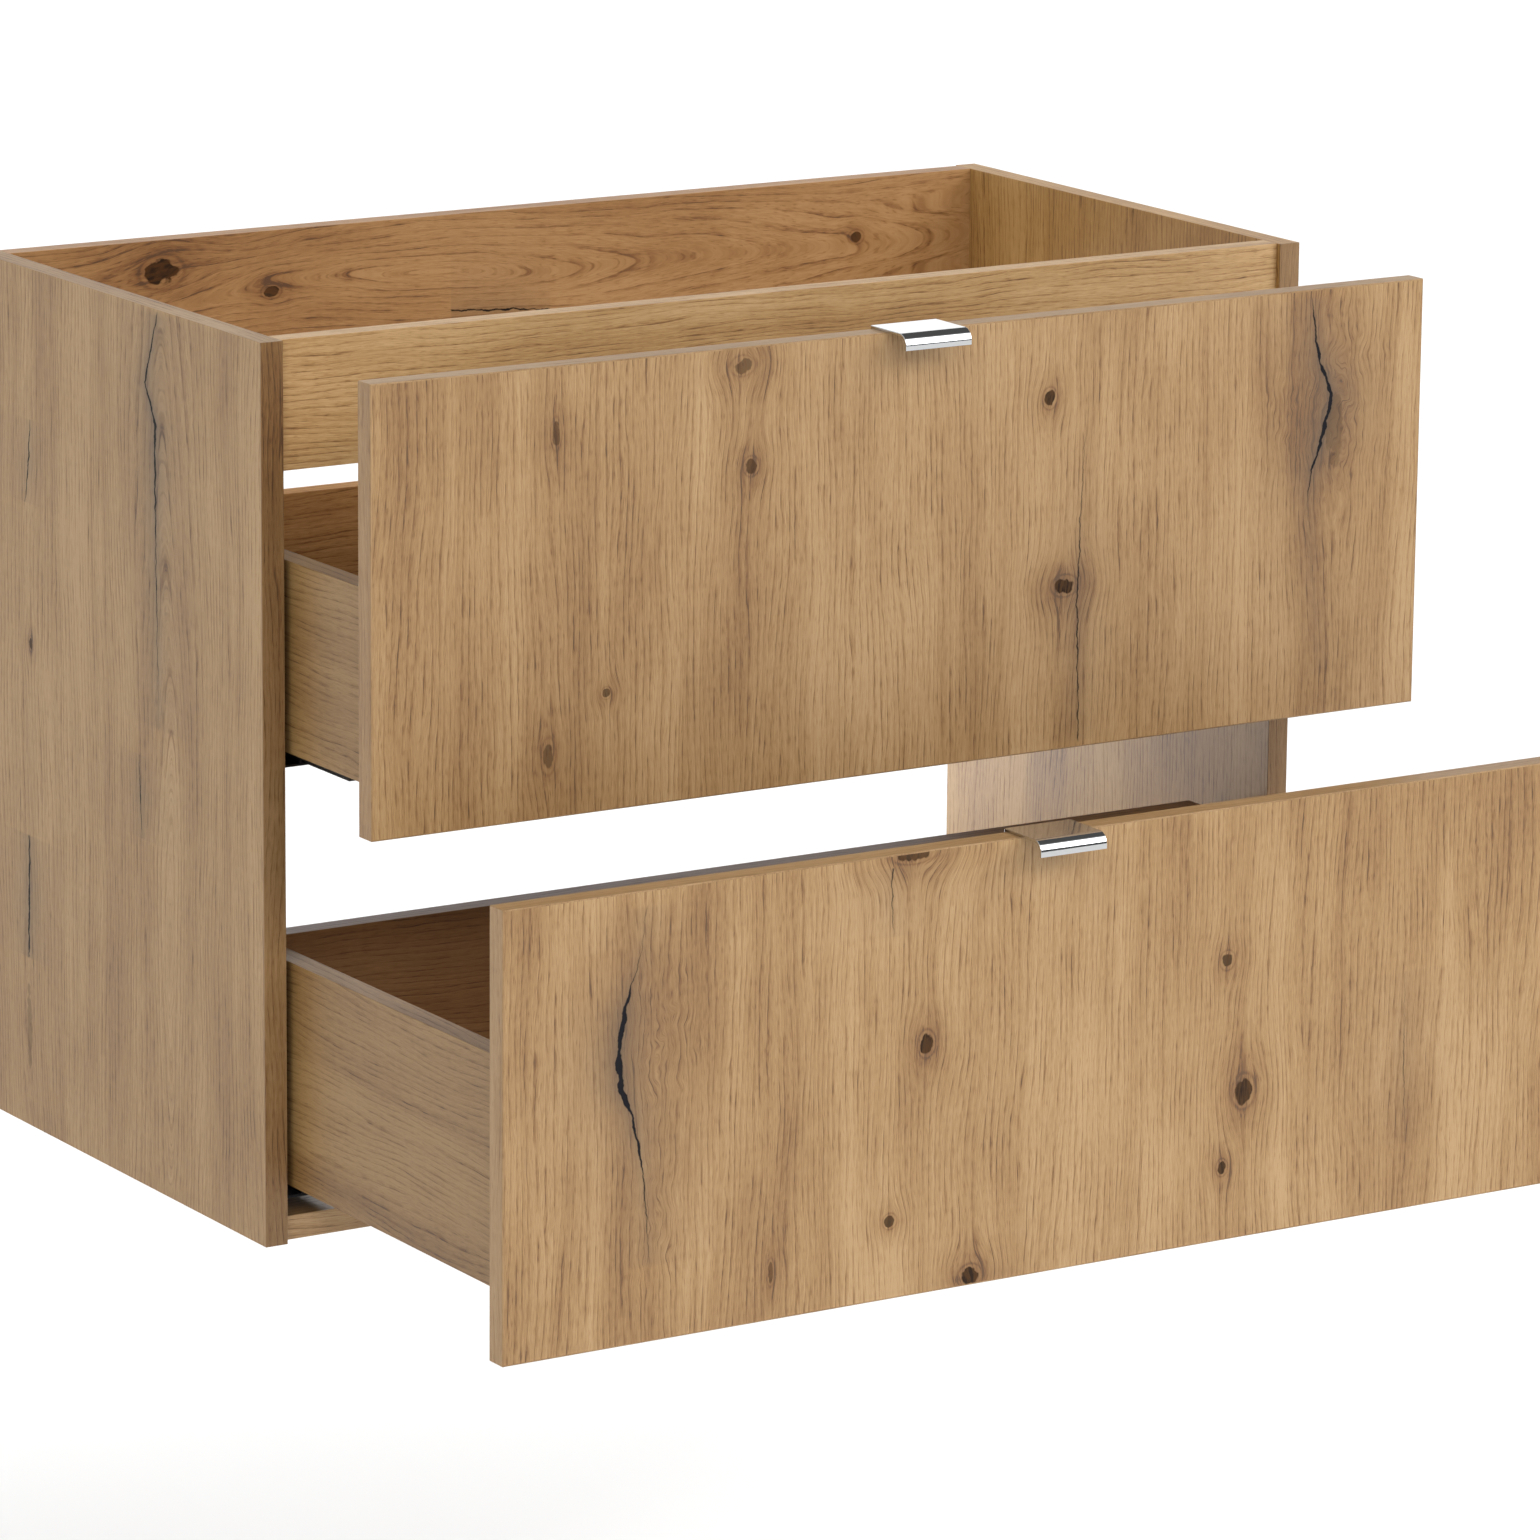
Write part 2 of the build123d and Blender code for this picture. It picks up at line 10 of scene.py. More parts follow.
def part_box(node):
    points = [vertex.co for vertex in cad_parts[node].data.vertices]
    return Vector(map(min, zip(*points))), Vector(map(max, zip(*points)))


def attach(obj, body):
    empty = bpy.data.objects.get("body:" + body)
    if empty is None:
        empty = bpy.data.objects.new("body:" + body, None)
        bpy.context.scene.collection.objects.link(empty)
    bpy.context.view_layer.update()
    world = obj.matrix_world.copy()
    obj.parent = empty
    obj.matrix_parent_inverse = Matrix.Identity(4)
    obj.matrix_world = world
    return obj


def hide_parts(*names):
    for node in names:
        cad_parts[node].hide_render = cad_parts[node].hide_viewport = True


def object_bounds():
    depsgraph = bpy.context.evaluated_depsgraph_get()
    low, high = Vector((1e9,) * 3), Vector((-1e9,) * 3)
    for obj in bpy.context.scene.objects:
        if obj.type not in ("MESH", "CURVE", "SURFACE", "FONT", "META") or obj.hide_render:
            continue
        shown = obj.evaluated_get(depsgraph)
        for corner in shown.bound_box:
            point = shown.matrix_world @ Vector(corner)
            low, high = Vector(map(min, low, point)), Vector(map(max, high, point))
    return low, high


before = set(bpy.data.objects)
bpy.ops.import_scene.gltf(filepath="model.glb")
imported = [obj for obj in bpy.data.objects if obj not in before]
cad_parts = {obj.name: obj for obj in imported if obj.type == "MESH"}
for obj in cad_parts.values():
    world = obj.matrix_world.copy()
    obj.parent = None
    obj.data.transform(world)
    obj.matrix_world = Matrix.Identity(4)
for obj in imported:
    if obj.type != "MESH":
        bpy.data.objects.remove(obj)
cad_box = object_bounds()

# ---- camera: a long lens, well back from the cabinet's left front corner -------------------
CAMERA_AZIMUTH = math.radians(-32.14)
CAMERA_PITCH = math.radians(13.19)
CAMERA_ROLL = math.radians(0.52)
CAMERA_DISTANCE = 5.19
CAMERA_LENS = 182.5
AIM_OFFSET = Vector((-0.002, -0.007, -0.032))  # from the middle of the object's box

# ---- the room: all pale, with the floor well below the hanging cabinet ---------------------
FLOOR_DROP = 0.55
FLOOR_SIZE = 60.0
FLOOR_WHITE = (0.95, 0.95, 0.95, 1.0)
FLOOR_ROUGHNESS = 0.9
WORLD_LEVEL = 0.7  # of the light that comes from all around
SOFTBOX_BOOST = 3.3  # added in a belt high in front
SIDE_LEAN = 0.12  # the right is lighter than the left by this much
GREY_LOSS = 0.85  # share that the grey zones take away
BACKDROP_BOOST = 0.7  # added low behind the cabinet
BACK_PLACE = (0.1, 0.45, -0.4)  # a small light behind, aimed at the right panel's inside
BACK_AIM = (0.4, -0.1, -0.3)
BACK_SIZE = (0.3, 0.3)
BACK_POWER = 1.7
KEY_PLACE = (1.6, -2.3, 0.8)
KEY_SIZE = (0.9, 0.9)
KEY_POWER = 12.0

# ---- handles -----------------------------------------------------------------------------
HANDLE_SHEET = 0.002
HANDLE_BEND_R = 0.008
HANDLE_LIP = 0.0105
HANDLE_EDGE = 0.0004
EDGE_SEGMENTS = 3
BEND_STEPS = 20

MM = 1000.0  # the oak is drawn in millimetres


# ---- node trees ------------------------------------------------------------------------
class Tree:
    """Short names for the shader nodes of a material or a world."""

    def __init__(self, owner):
        owner.use_nodes = True
        self.owner = owner
        self.nodes = owner.node_tree.nodes
        self.links = owner.node_tree.links

    def put(self, target, value):
        """Set an input to a number or a colour, or link it to another node's output."""
        if isinstance(value, bpy.types.NodeSocket):
            self.links.new(value, target)
        elif value is not None:
            target.default_value = value

    def place(self):
        """Place on the object in metres, in the frame that all pieces share."""
        return self.nodes.new("ShaderNodeTexCoord").outputs["Object"]

    def math(self, operation, a, b=None, c=None, clamp=False):
        node = self.nodes.new("ShaderNodeMath")
        node.operation = operation
        node.use_clamp = clamp
        for socket, value in zip(node.inputs, (a, b, c)):
            self.put(socket, value)
        return node.outputs[0]

    def vector(self, operation, a, b=None):
        node = self.nodes.new("ShaderNodeVectorMath")
        node.operation = operation
        self.put(node.inputs[0], a)
        self.put(node.inputs[1], b)
        return node.outputs["Value" if operation in ("DOT_PRODUCT", "LENGTH") else "Vector"]

    def join(self, x, y, z):
        node = self.nodes.new("ShaderNodeCombineXYZ")
        for socket, value in zip(node.inputs, (x, y, z)):
            self.put(socket, value)
        return node.outputs[0]

    def split(self, vector):
        node = self.nodes.new("ShaderNodeSeparateXYZ")
        self.put(node.inputs[0], vector)
        return node.outputs

    def noise(self, vector, scale, detail=2.0, roughness=0.5):
        node = self.nodes.new("ShaderNodeTexNoise")
        self.put(node.inputs["Vector"], self.vector("MULTIPLY", vector, scale))
        node.inputs["Scale"].default_value = 1.0
        node.inputs["Detail"].default_value = detail
        node.inputs["Roughness"].default_value = roughness
        return node.outputs["Fac"]

    def centred(self, value):
        """Noise, moved to vary about 0."""
        return self.math("SUBTRACT", value, 0.5)

    def blend(self, factor, a, b):
        """a where factor is 0, and b where it is 1."""
        return self.math("MULTIPLY_ADD", factor, self.math("SUBTRACT", b, a), a)

    def ease(self, value, low, high):
        """Smooth step from 0 at low to 1 at high."""
        node = self.nodes.new("ShaderNodeMapRange")
        node.interpolation_type = "SMOOTHSTEP"
        self.put(node.inputs["Value"], value)
        self.put(node.inputs["From Min"], low)
        self.put(node.inputs["From Max"], high)
        return node.outputs["Result"]

    def band(self, value, low, high, soft):
        """1 between low and high, fading to 0 over a soft margin outside."""
        rise = self.ease(value, low - soft, low)
        return self.math("MULTIPLY", rise, self.ease(value, high + soft, high))

    def ramp(self, value, stops):
        node = self.nodes.new("ShaderNodeValToRGB")
        self.put(node.inputs[0], value)
        elements = node.color_ramp.elements
        while len(elements) < len(stops):
            elements.new(0.5)
        for element, (place, colour) in zip(elements, stops):
            element.position = place
            element.color = (*colour, 1.0)
        return node.outputs["Color"]

    def mix(self, factor, a, b, blend="MIX"):
        node = self.nodes.new("ShaderNodeMix")
        node.data_type = "RGBA"
        node.blend_type = blend
        self.put(node.inputs["Factor"], factor)
        for socket, value in zip((node.inputs[6], node.inputs[7]), (a, b)):
            colour = (*value, 1.0) if isinstance(value, tuple) else value
            self.put(socket, colour)
        return node.outputs[2]

    def mix_vector(self, factor, a, b):
        node = self.nodes.new("ShaderNodeMix")
        node.data_type = "VECTOR"
        self.put(node.inputs["Factor"], factor)
        self.put(node.inputs[4], a)
        self.put(node.inputs[5], b)
        return node.outputs[1]

    def surface(self, colour, roughness, height=None, bump=0.1, depth=0.001, **sockets):
        """Principled shader, with its other sockets by name and an optional bump."""
        shader = self.nodes.new("ShaderNodeBsdfPrincipled")
        self.put(shader.inputs["Base Color"], colour)
        self.put(shader.inputs["Roughness"], roughness)
        for name, value in sockets.items():
            self.put(shader.inputs[name.replace("_", " ")], value)
        if height is not None:
            node = self.nodes.new("ShaderNodeBump")
            node.inputs["Strength"].default_value = bump
            node.inputs["Distance"].default_value = depth
            self.put(node.inputs["Height"], height)
            self.put(shader.inputs["Normal"], node.outputs[0])
        output = self.nodes.new("ShaderNodeOutputMaterial")
        self.links.new(shader.outputs[0], output.inputs[0])
        return self.owner


def material_tree(name):
    """An empty node tree in a new material."""
    tree = Tree(bpy.data.materials.new(name))
    tree.nodes.clear()
    return tree


# ---- oak decor ---------------------------------------------------------------------------
LIGHT = (0.370, 0.236, 0.113)
TAN = (0.287, 0.168, 0.068)
BROWN = (0.183, 0.089, 0.030)
UMBER = (0.085, 0.040, 0.015)
KNOT = (0.012, 0.008, 0.006)
CRACK = (0.010, 0.010, 0.012)
STAIN = (0.085, 0.055, 0.034)
RING_SPACING = 4.6
FAR = 4000.0  # the edges show a part of the pattern that is away from the knots
CRACK_SPAN = 200.0  # width of the strip that a crack's points are given in
WIDTH_UNIT = 10.0  # a crack's width, as the colour ramp carries it
SQUARE_ON = 0.7  # part of the normal that makes a face an edge or an end of the board
SEED_STEP = (137.0, 911.0, 53.0)  # moves each board's pattern to a place of its own
OAK_SHINE = 0.45
SHINE_LOSS = 0.4  # in cracks and knots


def board_place(tree, face, grain):
    """Across, along and through the board in mm, turned on its edges to run along each edge."""
    across = ({"X", "Y", "Z"} - {face, grain}).pop()
    coordinates = tree.nodes.new("ShaderNodeTexCoord")
    point = tree.vector("MULTIPLY", coordinates.outputs["Object"], (MM, MM, MM))
    place = dict(zip("XYZ", tree.split(point)))
    normal = dict(zip("XYZ", tree.split(coordinates.outputs["Normal"])))
    on_face = tree.join(place[across], place[grain], place[face])
    on_side = tree.join(tree.math("ADD", place[face], FAR), place[grain], place[across])
    on_end = tree.join(tree.math("SUBTRACT", place[face], FAR), place[across], place[grain])
    side = tree.math("GREATER_THAN", tree.math("ABSOLUTE", normal[across]), SQUARE_ON)
    end = tree.math("GREATER_THAN", tree.math("ABSOLUTE", normal[grain]), SQUARE_ON)
    return tree.mix_vector(end, tree.mix_vector(side, on_face, on_side), on_end)


def bell(tree, place, centre, size):
    """Bell over the two half sizes, and the offset from its centre across the grain."""
    offset = tree.vector("SUBTRACT", place, (*centre, 0.0))
    scaled = tree.vector("MULTIPLY", offset, (1.0 / size[0], 1.0 / size[1], 0.0))
    square = tree.vector("DOT_PRODUCT", scaled, scaled)
    return tree.math("EXPONENT", tree.math("MULTIPLY", square, -1.0)), tree.split(offset)[0]


def oak(name, face, grain, seed, knots=(), burls=(), arches=(), cracks=(), streaks=(), tint_and_painted_light=None,
        ring_strength=1.0):
    """Knotty oak decor on a board whose broad face looks along face, with the grain along grain.

    In mm, across and along the grain: knots (across, along, half width, half length, darkness),
    burls (across, along, half width, half length, brownness), arches (across, along, half width),
    streaks (across, half width, brownness), cracks as points (along, across, width, stain).
    """
    tree = material_tree(name)
    place = board_place(tree, face, grain)
    u, v, w = tree.split(place)
    flat = tree.vector("ADD", place, tuple(seed * step for step in SEED_STEP))
    flat = tree.vector("MULTIPLY", flat, (1.0, 1.0, 0.1))

    # The grain's own coordinate: u, bent by slow wander, ripples, knots and arches.
    wander = tree.centred(tree.noise(flat, (0.008, 0.0022, 0.0), 2.0))
    ripple = tree.centred(tree.noise(flat, (0.035, 0.009, 0.0), 3.0, 0.55))
    line = tree.math("MULTIPLY_ADD", wander, 40.0, u)
    line = tree.math("MULTIPLY_ADD", ripple, 7.0, line)
    jitter = tree.noise(flat, (0.16, 0.11, 0.0), 2.0)
    knot = 0.0
    core = 0.0
    brown = 0.0
    for across, along, half_width, half_length, darkness in knots:
        bend, offset = bell(tree, place, (across, along), (half_width * 3.0, half_length * 3.2))
        push = tree.math("MULTIPLY", tree.math("MULTIPLY", bend, offset), 0.75)
        line = tree.math("SUBTRACT", line, push)
        inner, _ = bell(tree, place, (across, along), (half_width, half_length))
        edge = tree.math("MULTIPLY", inner, tree.math("MULTIPLY_ADD", jitter, 2.2, -0.1))
        ink = tree.math("MULTIPLY", tree.ease(edge, 0.36, 0.52), darkness)
        knot = tree.math("MAXIMUM", knot, ink)
        brown = tree.math("MAXIMUM", brown, tree.math("MULTIPLY", bend, 0.42 * darkness))
        ring = tree.ease(tree.math("ABSOLUTE", tree.math("SUBTRACT", inner, 0.16)), 0.10, 0.0)
        brown = tree.math("MULTIPLY_ADD", ring, 0.25 * darkness, brown)
    for across, along, half_width, half_length, brownness in burls:
        bend, _ = bell(tree, place, (across, along), (half_width, half_length))
        swirl = tree.centred(tree.noise(flat, (0.05, 0.035, 0.0), 2.0))
        line = tree.math("MULTIPLY_ADD", tree.math("MULTIPLY", bend, swirl), 22.0, line)
        brown = tree.math("MULTIPLY_ADD", bend, brownness, brown)
    for across, along, half_width in arches:
        offset = tree.math("SUBTRACT", line, across)
        rise = tree.math("MULTIPLY", tree.math("SUBTRACT", v, along), 0.07)
        square = tree.math("MULTIPLY_ADD", offset, offset, tree.math("MULTIPLY", rise, rise))
        near = tree.ease(tree.math("ABSOLUTE", offset), half_width, half_width * 0.4)
        line = tree.blend(near, tree.math("ABSOLUTE", offset), tree.math("SQRT", square))

    streaked = tree.join(tree.math("ADD", line, seed * 71.0), tree.math("ADD", v, seed * 337.0), w)
    broad = tree.centred(tree.noise(streaked, (0.014, 0.0014, 0.0), 2.0))
    bands = tree.centred(tree.noise(streaked, (0.06, 0.003, 0.0), 2.0))
    fine = tree.centred(tree.noise(streaked, (0.55, 0.012, 0.0), 2.0))
    fibre = tree.noise(streaked, (1.6, 0.07, 0.0), 2.0, 0.6)
    cloud = tree.centred(tree.noise(flat, (0.011, 0.006, 0.0), 2.0))

    # Growth rings: a porous dark line every few millimetres, broken up along the grain.
    spacing = tree.math("MULTIPLY_ADD", bands, 3.0, tree.math("DIVIDE", line, RING_SPACING))
    phase = tree.math("FRACT", tree.math("ADD", spacing, tree.math("MULTIPLY", fine, 0.5)))
    ring = tree.math("EXPONENT", tree.math("MULTIPLY", phase, -6.0))
    ring = tree.math("MULTIPLY", ring, tree.ease(phase, 0.0, 0.06))
    broken = tree.ease(tree.noise(streaked, (0.09, 0.02, 0.0), 2.0, 0.6), 0.25, 0.65)
    pores = tree.ease(fibre, 0.38, 0.6)
    dashes = tree.ease(tree.noise(streaked, (2.4, 0.13, 0.0), 1.0), 0.55, 0.72)
    ring = tree.math("MULTIPLY", ring, broken)
    ring = tree.math("MULTIPLY", ring, tree.math("MULTIPLY_ADD", pores, 0.6, 0.5))

    tone = tree.math("MULTIPLY_ADD", broad, 1.0, 0.2)
    shares = ((bands, 0.6), (fine, 0.4), (cloud, 0.6), (tree.centred(fibre), 0.75), (dashes, 0.3))
    for part, share in shares:
        tone = tree.math("MULTIPLY_ADD", part, share, tone)
    for across, half_width, brownness in streaks:
        away = tree.math("DIVIDE", tree.math("SUBTRACT", line, across), half_width)
        soft = tree.math("EXPONENT", tree.math("MULTIPLY", tree.math("MULTIPLY", away, away), -1.0))
        tone = tree.math("MULTIPLY_ADD", soft, brownness, tone)
    tone = tree.math("MULTIPLY_ADD", ring, ring_strength, tone)
    tone = tree.math("ADD", tone, brown, clamp=True)
    colour = tree.ramp(tone, ((0.0, LIGHT), (0.32, TAN), (0.72, BROWN), (1.0, UMBER)))
    flecks = tree.ease(tree.noise(flat, (0.5, 0.11, 0.0), 3.0, 0.7), 0.6, 0.72)
    colour = tree.mix(tree.math("MULTIPLY", flecks, 0.22), colour, LIGHT)

    stain = 0.0
    tremble = tree.centred(tree.noise(flat, (0.0, 0.09, 0.0), 3.0))
    for points in cracks:
        start, end = points[0][0], points[-1][0]
        centre = points[0][1]
        stops = []
        for along, across, width, stained in points:
            side = 0.5 + (across - centre) / CRACK_SPAN
            stops.append(((along - start) / (end - start), (side, width / WIDTH_UNIT, stained)))
        share = tree.math("DIVIDE", tree.math("SUBTRACT", v, start), end - start)
        course = tree.nodes.new("ShaderNodeSeparateColor")
        tree.links.new(tree.ramp(share, stops), course.inputs[0])
        side, width, stained = course.outputs
        middle = tree.math("MULTIPLY_ADD", side, CRACK_SPAN, centre - CRACK_SPAN / 2)
        middle = tree.math("MULTIPLY_ADD", tremble, 5.0, middle)
        away = tree.math("ABSOLUTE", tree.math("SUBTRACT", u, middle))
        inside = tree.math("MULTIPLY", tree.ease(share, 0.0, 0.02), tree.ease(share, 1.0, 0.98))
        half = tree.math("MULTIPLY", tree.math("MULTIPLY_ADD", jitter, 16.0, -2.5), width)
        gap = tree.ease(tree.math("SUBTRACT", away, half), 0.5, -0.3)
        gap = tree.math("MULTIPLY", gap, tree.ease(width, 0.0, 0.06))
        core = tree.math("MAXIMUM", core, tree.math("MULTIPLY", gap, inside))
        near = tree.math("EXPONENT", tree.math("DIVIDE", away, -6.0))
        wide = tree.math("EXPONENT", tree.math("DIVIDE", away, -24.0))
        glow = tree.math("MULTIPLY_ADD", wide, 0.6, tree.math("MULTIPLY", near, 0.4))
        glow = tree.math("MULTIPLY", tree.math("MULTIPLY", glow, stained), inside)
        stain = tree.math("MAXIMUM", stain, glow)
    if cracks:
        colour = tree.mix(stain, colour, STAIN)
    colour = tree.mix(knot, colour, tree.mix(tree.math("MULTIPLY", pores, 0.6), KNOT, UMBER))
    colour = tree.mix(core, colour, CRACK)
    # The tint multiplies in last: on some boards it lightens the decor as painted light, on others it
    # darkens it as painted shade, for how light falls on that board.
    if tint_and_painted_light:
        colour = tree.mix(1.0, colour, tint_and_painted_light, "MULTIPLY")
    relief = tree.noise(place, (1.3, 0.05, 0.6), 2.0, 0.6)
    roughness = tree.math("MULTIPLY_ADD", ring, 0.15, 0.45)
    shine = OAK_SHINE
    if knots or cracks:
        shine = tree.math("MULTIPLY_ADD", tree.math("MAXIMUM", core, knot), -SHINE_LOSS, OAK_SHINE)
    return tree.surface(colour, roughness, relief, 0.3, 0.0003, Specular_IOR_Level=shine)


# ---- other materials ---------------------------------------------------------------------
def chrome():
    tree = material_tree("chrome")
    smear = tree.noise(tree.place(), (90.0, 90.0, 90.0), 3.0)
    roughness = tree.math("MULTIPLY_ADD", smear, 0.05, 0.03)
    return tree.surface((0.55, 0.556, 0.56, 1.0), roughness, Metallic=1.0)


def steel(name, colour, roughness, metallic):
    """Sheet steel, with faint streaks along its length."""
    tree = material_tree(name)
    streaks = tree.noise(tree.place(), (700.0, 14.0, 700.0), 2.0)
    dark = tuple(0.75 * part for part in colour)
    shade = tree.mix(streaks, dark, colour)
    finish = tree.math("MULTIPLY_ADD", streaks, 0.15, roughness)
    return tree.surface(shade, finish, streaks, 0.1, 0.0001, Metallic=metallic)


def black_plastic():
    tree = material_tree("black_plastic")
    grain = tree.noise(tree.place(), (2500.0, 2500.0, 2500.0), 1.0)
    shade = tree.mix(grain, (0.012, 0.012, 0.013), (0.022, 0.022, 0.023))
    return tree.surface(shade, 0.5, grain, 0.2, 0.0001)


def beech():
    tree = material_tree("beech")
    streaks = tree.noise(tree.place(), (60.0, 900.0, 900.0), 2.0)
    return tree.surface(tree.mix(streaks, (0.5, 0.33, 0.19), (0.66, 0.48, 0.3)), 0.6)


def dress(material, *nodes):
    """Give CAD nodes a material."""
    for node in nodes:
        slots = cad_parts[node].data.materials
        slots.clear()
        slots.append(material)


# ---- camera and light --------------------------------------------------------------------
def make_camera():
    low, high = cad_box
    aim = (low + high) / 2 + AIM_OFFSET
    turn = Matrix.Rotation(CAMERA_AZIMUTH, 3, "Z")
    turn = turn @ Matrix.Rotation(-CAMERA_PITCH, 3, "X") @ Matrix.Rotation(-CAMERA_ROLL, 3, "Y")
    right, forward, up = turn.col
    data = bpy.data.cameras.new("camera")
    data.lens = CAMERA_LENS
    camera = bpy.data.objects.new("camera", data)
    axes = Matrix((right, up, -forward)).transposed()
    camera.matrix_world = Matrix.Translation(aim - forward * CAMERA_DISTANCE) @ axes.to_4x4()
    bpy.context.scene.collection.objects.link(camera)
    bpy.context.scene.camera = camera


def softbox(name, place, aim, size, power):
    data = bpy.data.lights.new(name, "AREA")
    data.shape = "RECTANGLE"
    data.size, data.size_y = size
    data.energy = power
    light = bpy.data.objects.new(name, data)
    light.location = place
    light.rotation_mode = "QUATERNION"
    light.rotation_quaternion = (Vector(aim) - Vector(place)).to_track_quat("-Z", "Y")
    bpy.context.scene.collection.objects.link(light)


def make_world():
    """White backdrop and a wide softbox high in front, with a grey ceiling and room."""
    tree = Tree(bpy.data.worlds.new("studio"))
    direction = tree.nodes.new("ShaderNodeTexCoord").outputs["Generated"]
    x, y, z = tree.split(direction)
    front = tree.ease(y, 0.0, -0.25)
    behind = tree.math("SUBTRACT", 1.0, front)
    softbox_zone = tree.math("MULTIPLY", tree.band(z, 0.42, 0.72, 0.05), front)
    grey_room = tree.math("MULTIPLY", tree.band(z, 0.0, 0.24, 0.05), front)
    grey_ceiling = tree.math("MULTIPLY", tree.ease(z, 0.36, 0.44), behind)
    grey_top = tree.ease(z, 0.74, 0.82)
    grey = tree.math("ADD", grey_room, tree.math("MAXIMUM", grey_ceiling, grey_top), clamp=True)
    grey = tree.math("MULTIPLY", grey, tree.ease(x, 0.15, 0.4))
    level = tree.math("MULTIPLY_ADD", x, SIDE_LEAN, WORLD_LEVEL)
    level = tree.math("MULTIPLY", level, tree.math("MULTIPLY_ADD", grey, -GREY_LOSS, 1.0))
    level = tree.math("MULTIPLY_ADD", softbox_zone, SOFTBOX_BOOST, level)
    backdrop = tree.math("MULTIPLY", tree.ease(z, 0.42, 0.34), behind)
    level = tree.math("MULTIPLY_ADD", backdrop, BACKDROP_BOOST, level)
    background = tree.nodes["Background"]
    tree.put(background.inputs["Color"], (1.0, 1.0, 1.0, 1.0))
    tree.put(background.inputs["Strength"], level)
    bpy.context.scene.world = tree.owner


def make_floor():
    data = bpy.data.meshes.new("floor")
    half = FLOOR_SIZE / 2
    level = cad_box[0].z - FLOOR_DROP
    corners = [(-half, -half, level), (half, -half, level), (half, half, level), (-half, half, level)]
    data.from_pydata(corners, [], [(0, 1, 2, 3)])
    floor = bpy.data.objects.new("floor", data)
    bpy.context.scene.collection.objects.link(floor)
    data.materials.append(material_tree("floor_paint").surface(FLOOR_WHITE, FLOOR_ROUGHNESS))


# ---- handles -----------------------------------------------------------------------------
def handle_profile(low, high):
    """Section of the bent sheet in Y and Z: lip, bend, plate and the flange behind the front."""
    bend_y, bend_z = low.y + HANDLE_BEND_R, high.z - HANDLE_BEND_R
    lip_end = high.z - HANDLE_LIP
    turns = [math.pi - math.pi / 2 * step / BEND_STEPS for step in range(BEND_STEPS + 1)]

    def arc(radius, angles):
        return [(bend_y + radius * math.cos(t), bend_z + radius * math.sin(t)) for t in angles]

    outside = [(low.y, lip_end)]
    outside += arc(HANDLE_BEND_R, turns)
    outside += [(high.y, high.z), (high.y, low.z), (high.y - HANDLE_SHEET, low.z)]
    inside = [(high.y - HANDLE_SHEET, high.z - HANDLE_SHEET)]
    inside += arc(HANDLE_BEND_R - HANDLE_SHEET, reversed(turns))
    inside += [(low.y + HANDLE_SHEET, lip_end)]
    return outside + inside


def make_handle(level, material):
    """Bent sheet with a smooth bend and softened edges, in place of the CAD handle."""
    low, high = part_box(level + "_handle")
    mesh = bmesh.new()
    section = handle_profile(low, high)
    ends = [[mesh.verts.new((x, y, z)) for y, z in section] for x in (low.x, high.x)]
    for index in range(len(section)):
        corners = (ends[0][index - 1], ends[0][index], ends[1][index], ends[1][index - 1])
        mesh.faces.new(corners)
    mesh.faces.new(ends[0])
    mesh.faces.new(ends[1])
    bmesh.ops.recalc_face_normals(mesh, faces=mesh.faces)
    for face in mesh.faces:
        face.smooth = True
    data = bpy.data.meshes.new(level + "_pull")
    mesh.to_mesh(data)
    mesh.free()
    data.materials.append(material)
    pull = bpy.data.objects.new(level + "_pull", data)
    bpy.context.scene.collection.objects.link(pull)
    soften = pull.modifiers.new("soften", "BEVEL")
    soften.width = HANDLE_EDGE
    soften.segments = EDGE_SEGMENTS
    soften.limit_method = "ANGLE"
    soften.harden_normals = True
    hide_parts(level + "_handle")
    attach(pull, level + "_drawer")


# ---- the scene ---------------------------------------------------------------------------
make_camera()
make_world()
make_floor()
softbox("key", KEY_PLACE, (cad_box[0] + cad_box[1]) / 2, KEY_SIZE, KEY_POWER)
softbox("back", BACK_PLACE, BACK_AIM, BACK_SIZE, BACK_POWER)
bpy.context.scene.view_settings.view_transform = "Standard"

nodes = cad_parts
upper_front = oak(
    "oak_upper_front",
    "Y",
    "Z",
    1,
    knots=(
        (-268, 43, 3, 8, 0.55),
        (-273, -162, 4, 9, 0.6),
        (-231, -126, 3, 3, 0.7),
        (-125, 9, 4.5, 5, 0.75),
        (-132, 74, 7, 5, 0.6),
        (102, 32, 4.5, 5.5, 0.95),
        (116, -93, 8, 5.5, 0.95),
        (330, -10, 7, 26, 0.3),
    ),
    burls=((292, 0, 24, 40, 0.14), (345, 10, 28, 60, 0.06)),
    streaks=((-350, 70, 0.13), (-268, 16, 0.2), (-120, 12, 0.08), (128, 14, 0.12), (318, 20, 0.16)),
    cracks=(
        ((-200, 129, 0.5, 0.2), (-103, 126, 0.7, 0.4), (-40, 128, 0.4, 0.1), (24, 131, 0.2, 0.0)),
        (
            (-177, 323, 0.1, 0.1),
            (-59, 309, 0.2, 0.3),
            (-35, 312, 0.9, 0.7),
            (-18, 319, 2.4, 0.9),
            (15, 327, 2.6, 0.9),
            (36, 317, 2.2, 0.8),
            (60, 312, 0.8, 0.5),
            (83, 309, 0.3, 0.3),
        ),
    ),
)
